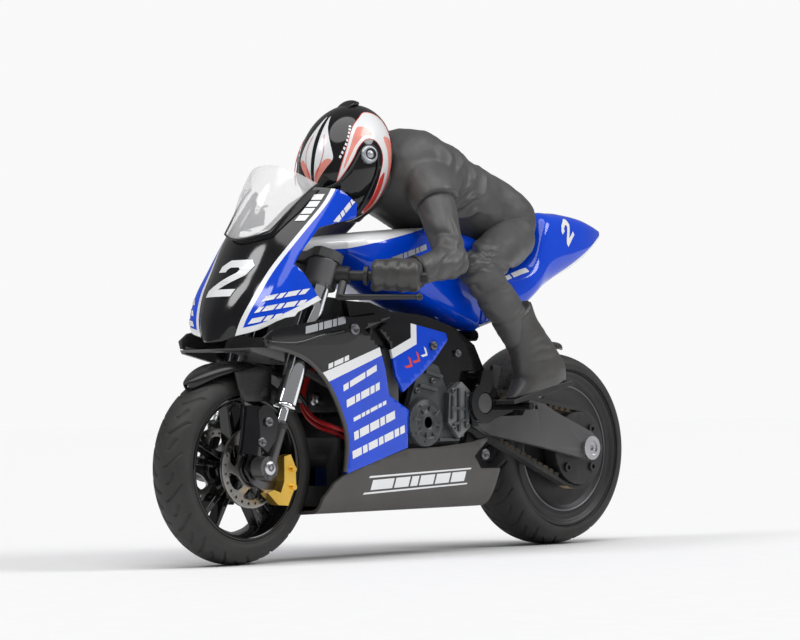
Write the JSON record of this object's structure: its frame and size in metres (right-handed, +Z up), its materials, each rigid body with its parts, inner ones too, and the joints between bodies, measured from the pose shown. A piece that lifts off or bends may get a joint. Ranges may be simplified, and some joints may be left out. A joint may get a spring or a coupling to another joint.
{
  "type": "radio-controlled racing motorcycle with rider",
  "caption": "Small radio-controlled sport motorcycle with full fairing and a crouching rider figure; sprung fork, swingarm, belt and gear drive, and servo steering.",
  "frame": {"origin": "on the ground, under the middle of the overall length and width", "axes": "+X forward, +Y to the rider's left, +Z up; the model stands upright on both tyres"},
  "size_m": [0.2077, 0.0846, 0.144],
  "materials": {
    "frame_black": "satin",
    "plastic_black": "matt",
    "gloss_black": "gloss",
    "body_blue": "gloss",
    "belly_grey": "matt",
    "chrome": "polished",
    "steel": "brushed",
    "gold": "satin anodised",
    "alloy": "machined",
    "tyre_rubber": "matt",
    "belt_rubber": "matt",
    "suit": "matt",
    "helmet": "gloss",
    "screen": "clear",
    "wire_red": "satin",
    "battery_wrap": "gloss",
    "brass_gear": "machined"
  },
  "bodies": {
    "chassis": {"frame_spars": "frame_black", "steering_head": "frame_black", "chassis_tray": "plastic_black", "battery_pack": "battery_wrap", "speed_controller": "plastic_black", "receiver": "plastic_black", "steering_servo": "plastic_black", "drive_motor": "steel", "motor_mount": "alloy", "swingarm_pivot": "steel", "side_fairings": "body_blue", "mid_panels": "gloss_black", "engine_covers": "plastic_black", "belly_pan": "belly_grey", "nose_cowl": "body_blue", "windscreen": "screen", "air_duct": "gloss_black", "fuel_tank": "body_blue", "seat_pad": "plastic_black", "tail_cowl": "body_blue", "footpegs": "gloss_black", "rider_torso": "suit", "rider_legs": "suit", "rider_arms": "suit", "helmet_shell": "helmet", "helmet_visor": "gloss_black", "body_screws": "steel", "battery_leads": "wire_red"},
    "steering": {"fork_tubes": "chrome", "fork_springs": "steel", "triple_clamp_lower": "frame_black", "triple_clamp_upper": "frame_black", "clip_ons": "frame_black", "brake_levers": "alloy", "rider_gloves": "suit"},
    "fork_lower": {"fork_legs": "frame_black", "fork_guards": "gloss_black", "front_fender": "gloss_black", "front_axle": "steel", "brake_calipers": "gold"},
    "front_wheel": {"front_tyre": "tyre_rubber", "front_rim": "gloss_black", "front_bearings": "steel", "brake_discs": "steel"},
    "swingarm": {"swingarm": "plastic_black", "rear_fender": "gloss_black", "drive_belt": "belt_rubber", "rear_axle": "steel"},
    "rear_wheel": {"rear_tyre": "tyre_rubber", "rear_rim": "plastic_black", "flywheel_ring": "steel", "rear_pulley": "plastic_black", "rear_bearings": "steel"},
    "layshaft": {"front_pulley": "alloy"},
    "motor_rotor": {"motor_pinion": "brass_gear"},
    "servo_horn": {"servo_horn": "plastic_black"},
    "steering_link": {"steering_link": "plastic_black"},
    "shock_body": {"shock_body": "gold", "shock_spring": "steel"},
    "shock_rod": {"shock_rod": "steel"}
  },
  "joints": [
    {"name": "steering", "type": "hinge", "parent": "chassis", "child": "steering", "pos_m": [0.06974, 0, 0.02757], "axis": [-0.3891, 0, 0.9212], "range_deg": [-18, 18], "deforming": ["rider_arms"]},
    {"name": "fork_slide", "type": "slide", "parent": "steering", "child": "fork_lower", "axis": [-0.3891, 0, 0.9212], "range_m": [-0.002, 0.0025], "stiffness_N_per_m": 2200, "deforming": ["fork_springs"]},
    {"name": "front_wheel_spin", "type": "hinge", "parent": "fork_lower", "child": "front_wheel", "pos_m": [0.0743, 0, 0.0295], "axis": [0, 1, 0], "continuous": true},
    {"name": "swing", "type": "hinge", "parent": "chassis", "child": "swingarm", "pos_m": [-0.018, 0, 0.048], "axis": [0, 1, 0], "range_deg": [-2, 4], "stiffness_Nm_per_rad": 6},
    {"name": "rear_wheel_spin", "type": "hinge", "parent": "swingarm", "child": "rear_wheel", "pos_m": [-0.0715, 0, 0.0324], "axis": [0, 1, 0], "continuous": true},
    {"name": "layshaft_spin", "type": "hinge", "parent": "chassis", "child": "layshaft", "pos_m": [-0.018, 0, 0.048], "axis": [0, 1, 0], "continuous": true},
    {"name": "motor_spin", "type": "hinge", "parent": "chassis", "child": "motor_rotor", "pos_m": [-0.002, 0, 0.048], "axis": [0, 1, 0], "continuous": true},
    {"name": "servo_output", "type": "hinge", "parent": "chassis", "child": "servo_horn", "pos_m": [0.02727, 0, 0.04589], "axis": [-0.3891, 0, 0.9212], "range_deg": [-18, 18]},
    {"name": "link_pivot", "type": "hinge", "parent": "servo_horn", "child": "steering_link", "pos_m": [0.0266, 0.009, 0.04746], "axis": [-0.3891, 0, 0.9212], "range_deg": [-18, 18]},
    {"name": "shock_tilt", "type": "hinge", "parent": "chassis", "child": "shock_body", "pos_m": [-0.021, 0, 0.07], "axis": [0, 1, 0], "range_deg": [-0.6, 1.1]},
    {"name": "shock_slide", "type": "slide", "parent": "shock_body", "child": "shock_rod", "axis": [-0.3448, 0, -0.9387], "range_m": [-0.0008, 0.0005], "deforming": ["shock_spring"]}
  ],
  "couplings": [
    {"joint": "layshaft_spin", "follows": "rear_wheel_spin", "ratio": 2.0769},
    {"joint": "motor_spin", "follows": "rear_wheel_spin", "ratio": -6.2308},
    {"joint": "servo_output", "follows": "steering", "ratio": 1},
    {"joint": "link_pivot", "follows": "steering", "ratio": -1},
    {"joint": "shock_tilt", "follows": "swing", "ratio": 0.2485},
    {"joint": "shock_slide", "follows": "swing", "m_per_rad": -0.0104}
  ]
}
